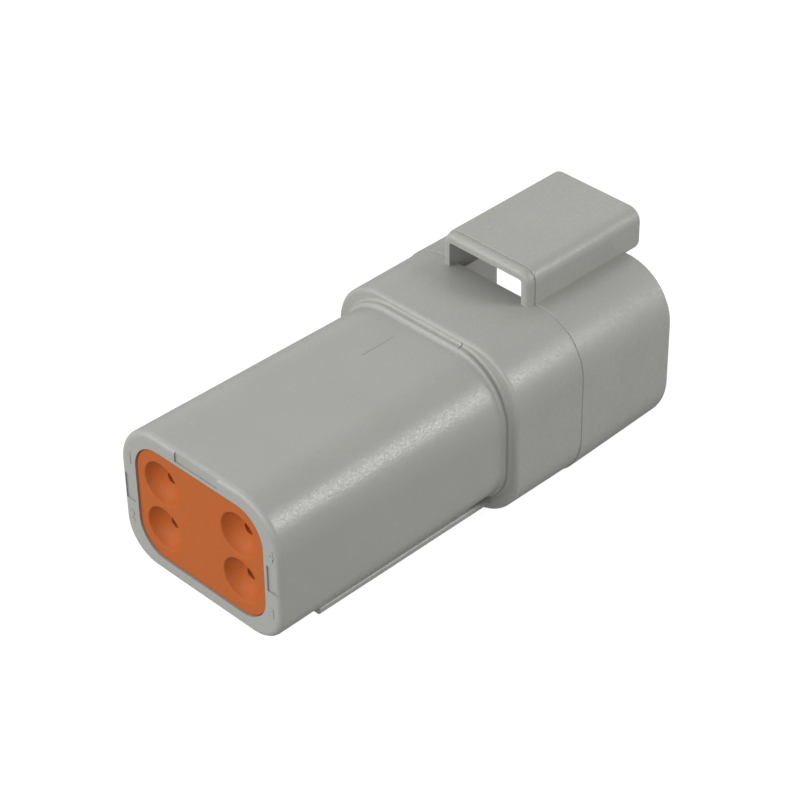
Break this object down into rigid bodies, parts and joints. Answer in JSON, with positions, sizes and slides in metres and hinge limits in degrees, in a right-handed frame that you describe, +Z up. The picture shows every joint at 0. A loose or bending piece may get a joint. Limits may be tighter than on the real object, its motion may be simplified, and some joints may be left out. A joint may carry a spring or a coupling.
{
  "type": "sealed automotive connector",
  "caption": "Gray sealed in-line wire connector receptacle with four round pins, an orange silicone wire seal, a latch loop and an orange wedge lock.",
  "frame": {"origin": "centre of the bounding box seen from above, on the lower face of the shroud", "axes": "+X is the mating direction, from the wire end to the shroud's mouth; +Z is up through the latch loop; Y is across"},
  "size_m": [0.0486, 0.0222, 0.0208],
  "materials": {
    "housing_plastic": "satin moulded, finely grained",
    "seal_silicone": "moulded silicone, satin",
    "wedge_plastic": "satin moulded",
    "contact_metal": "nickel plated, satin"
  },
  "bodies": {
    "connector": {"housing": "housing_plastic", "rear_seal": "seal_silicone", "pin_contact_1": "contact_metal", "pin_contact_2": "contact_metal", "pin_contact_3": "contact_metal", "pin_contact_4": "contact_metal"},
    "wedge": {"wedge_lock": "wedge_plastic"}
  },
  "joints": [
    {"name": "wedge_slide", "type": "slide", "parent": "connector", "child": "wedge", "axis": [1, 0, 0], "range_m": [0, 0.026]}
  ]
}
